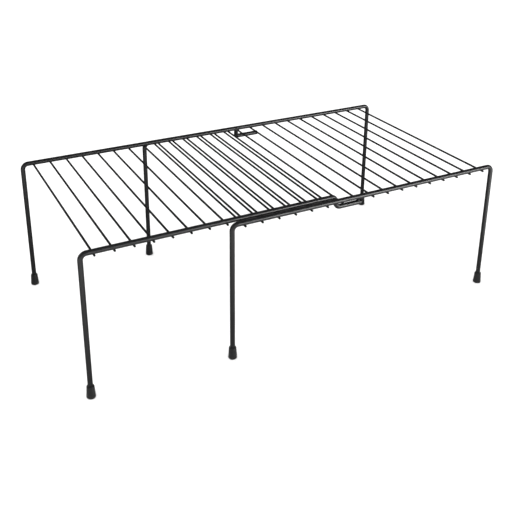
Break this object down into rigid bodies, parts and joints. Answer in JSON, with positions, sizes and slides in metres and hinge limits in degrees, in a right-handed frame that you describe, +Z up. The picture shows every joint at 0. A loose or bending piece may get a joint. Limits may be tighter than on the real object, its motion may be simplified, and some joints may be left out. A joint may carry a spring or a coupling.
{
  "type": "extending wire shelf riser",
  "caption": "Extending wire shelf riser for a cupboard or worktop: a welded wire base and a nested extension with hooked rail ends, on slim legs with push-on foot caps.",
  "frame": {"origin": "on the floor under the middle of the shelf, as posed at rest: midway between the outermost legs and midway between front and rear", "axes": "+X along the shelf from the extension to the base, +Y from the front to the rear, +Z up"},
  "size_m": [0.5148, 0.2678, 0.1663],
  "materials": {
    "powder_coated_wire": "satin black powder coat on steel wire",
    "foot_cap": "satin black soft moulded cap"
  },
  "bodies": {
    "base": {"base_front_wire": "powder_coated_wire", "base_rear_wire": "powder_coated_wire", "base_cross_wire_01": "powder_coated_wire", "base_cross_wire_02": "powder_coated_wire", "base_cross_wire_03": "powder_coated_wire", "base_cross_wire_04": "powder_coated_wire", "base_cross_wire_05": "powder_coated_wire", "base_cross_wire_06": "powder_coated_wire", "base_cross_wire_07": "powder_coated_wire", "base_cross_wire_08": "powder_coated_wire", "base_cross_wire_09": "powder_coated_wire", "base_cross_wire_10": "powder_coated_wire", "base_cross_wire_11": "powder_coated_wire", "base_cross_wire_12": "powder_coated_wire", "base_cross_wire_13": "powder_coated_wire", "base_cross_wire_14": "powder_coated_wire", "base_cross_wire_15": "powder_coated_wire", "base_cross_wire_16": "powder_coated_wire", "base_cross_wire_17": "powder_coated_wire", "base_foot_left_front": "foot_cap", "base_foot_left_rear": "foot_cap", "base_foot_right_front": "foot_cap", "base_foot_right_rear": "foot_cap"},
    "extension": {"extension_front_wire": "powder_coated_wire", "extension_rear_wire": "powder_coated_wire", "extension_cross_wire_01": "powder_coated_wire", "extension_cross_wire_02": "powder_coated_wire", "extension_cross_wire_03": "powder_coated_wire", "extension_cross_wire_04": "powder_coated_wire", "extension_cross_wire_05": "powder_coated_wire", "extension_cross_wire_06": "powder_coated_wire", "extension_cross_wire_07": "powder_coated_wire", "extension_cross_wire_08": "powder_coated_wire", "extension_cross_wire_09": "powder_coated_wire", "extension_cross_wire_10": "powder_coated_wire", "extension_cross_wire_11": "powder_coated_wire", "extension_cross_wire_12": "powder_coated_wire", "extension_cross_wire_13": "powder_coated_wire", "extension_cross_wire_14": "powder_coated_wire", "extension_foot_front": "foot_cap", "extension_foot_rear": "foot_cap"}
  },
  "joints": [
    {"name": "extension_slide", "type": "slide", "parent": "base", "child": "extension", "axis": [1, 0, 0], "range_m": [-0.01035, 0.00135]}
  ]
}
